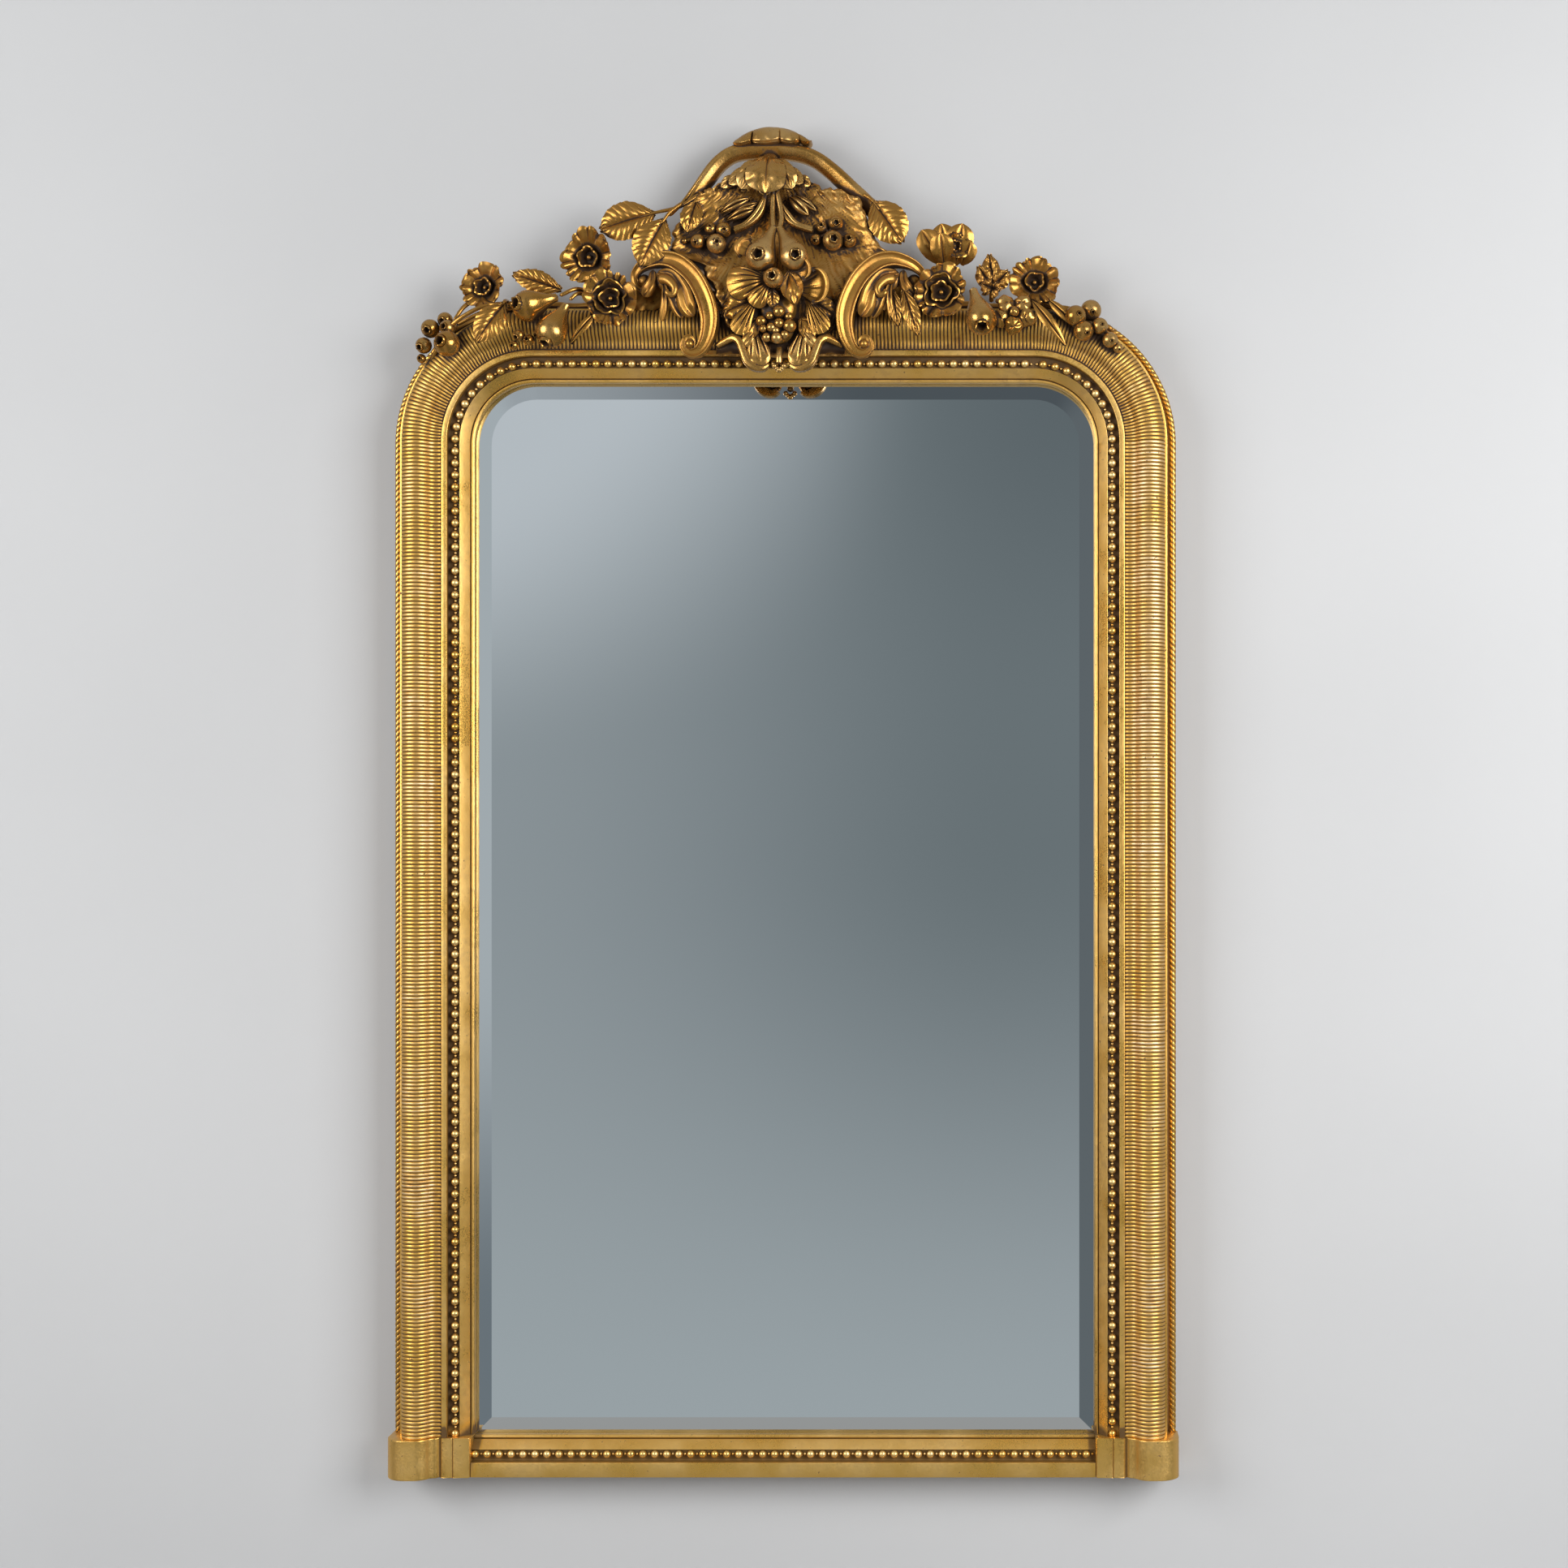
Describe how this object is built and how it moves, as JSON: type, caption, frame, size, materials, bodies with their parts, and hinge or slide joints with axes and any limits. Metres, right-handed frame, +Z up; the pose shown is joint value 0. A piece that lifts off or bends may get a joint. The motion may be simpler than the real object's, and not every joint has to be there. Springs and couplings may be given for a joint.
{
  "type": "overmantel mirror",
  "caption": "Gilt overmantel mirror: bevelled glass in a reeded and pearled frame with rounded top corners, plain base blocks and a fruit and flower crest, hung by rings at the back.",
  "frame": {"origin": "bottom middle of the back, in the plane of the wall", "axes": "X to the viewer's right, Y into the wall, Z up; the glass faces -Y"},
  "size_m": [1.02, 0.1252, 1.7418],
  "materials": {
    "gilt_moulding": "antique gilding over gesso, rubbed on the edges",
    "gilt_reeding": "antique gilding over fine ribs, dark between them",
    "gilt_rope": "antique gilding over a twisted rope",
    "gilt_pearls": "antique gilding, rubbed bright on top",
    "gilt_base": "antique gilding, plain",
    "mirror_glass": "silvered glass with a wide bevel",
    "gilt_cartouche": "antique gilding over carving, dark in the hollows",
    "gilt_fruit": "antique gilding, smooth and rubbed bright",
    "gilt_leaves": "antique gilding over veined leaves, dark in the hollows",
    "carcass_wood": "planed softwood, unfinished",
    "backboard_wood": "thin sawn boards, darkened with age",
    "hanger_steel": "dull plated steel",
    "screw_steel": "dull plated steel"
  },
  "bodies": {
    "frame": {"moulding_left": "gilt_moulding", "moulding_right": "gilt_moulding", "moulding_corner_left": "gilt_moulding", "moulding_corner_right": "gilt_moulding", "moulding_top": "gilt_moulding", "reeding_left": "gilt_reeding", "reeding_right": "gilt_reeding", "reeding_corner_left": "gilt_reeding", "reeding_corner_right": "gilt_reeding", "reeding_top": "gilt_reeding", "rope_left": "gilt_rope", "rope_right": "gilt_rope", "rope_top": "gilt_rope", "pearls_left": "gilt_pearls", "pearls_right": "gilt_pearls", "pearls_top": "gilt_pearls", "pearls_base": "gilt_pearls", "base_rail": "gilt_base", "base_block_left": "gilt_base", "base_block_right": "gilt_base", "mirror_glass": "mirror_glass", "cartouche": "gilt_cartouche", "arch_strap": "gilt_cartouche", "arch_cap": "gilt_cartouche", "palmette": "gilt_cartouche", "scroll_left": "gilt_cartouche", "scroll_right": "gilt_cartouche", "scroll_leaf_left": "gilt_cartouche", "scroll_leaf_right": "gilt_cartouche", "pendant_shell": "gilt_cartouche", "centre_fruit": "gilt_fruit", "grape_cluster": "gilt_fruit", "cartouche_berries": "gilt_fruit", "fruit_left": "gilt_fruit", "fruit_right": "gilt_fruit", "berries_left": "gilt_fruit", "berries_right": "gilt_fruit", "centre_leaves": "gilt_leaves", "leaves_left": "gilt_leaves", "leaves_right": "gilt_leaves", "garland_stem_left": "gilt_leaves", "garland_stem_right": "gilt_leaves", "flowers_left": "gilt_leaves", "flowers_right": "gilt_leaves", "stile_left": "carcass_wood", "stile_right": "carcass_wood", "top_rail": "carcass_wood", "bottom_rail": "carcass_wood", "crest_board": "carcass_wood", "crest_dowels": "carcass_wood", "glass_wedges": "carcass_wood", "backboard_bottom": "backboard_wood", "backboard_middle": "backboard_wood", "backboard_top": "backboard_wood", "hanger_strap_left": "hanger_steel", "hanger_strap_right": "hanger_steel", "hanger_screws": "screw_steel", "backboard_screws": "screw_steel"},
    "ring_left": {"hanger_ring_left": "hanger_steel"},
    "ring_right": {"hanger_ring_right": "hanger_steel"}
  },
  "joints": [
    {"name": "ring_left_swing", "type": "hinge", "parent": "frame", "child": "ring_left", "pos_m": [-0.46125, -0.0082, 1.124], "axis": [1, 0, 0], "range_deg": [-2, 165]},
    {"name": "ring_right_swing", "type": "hinge", "parent": "frame", "child": "ring_right", "pos_m": [0.46125, -0.0082, 1.124], "axis": [1, 0, 0], "range_deg": [-2, 165]}
  ]
}
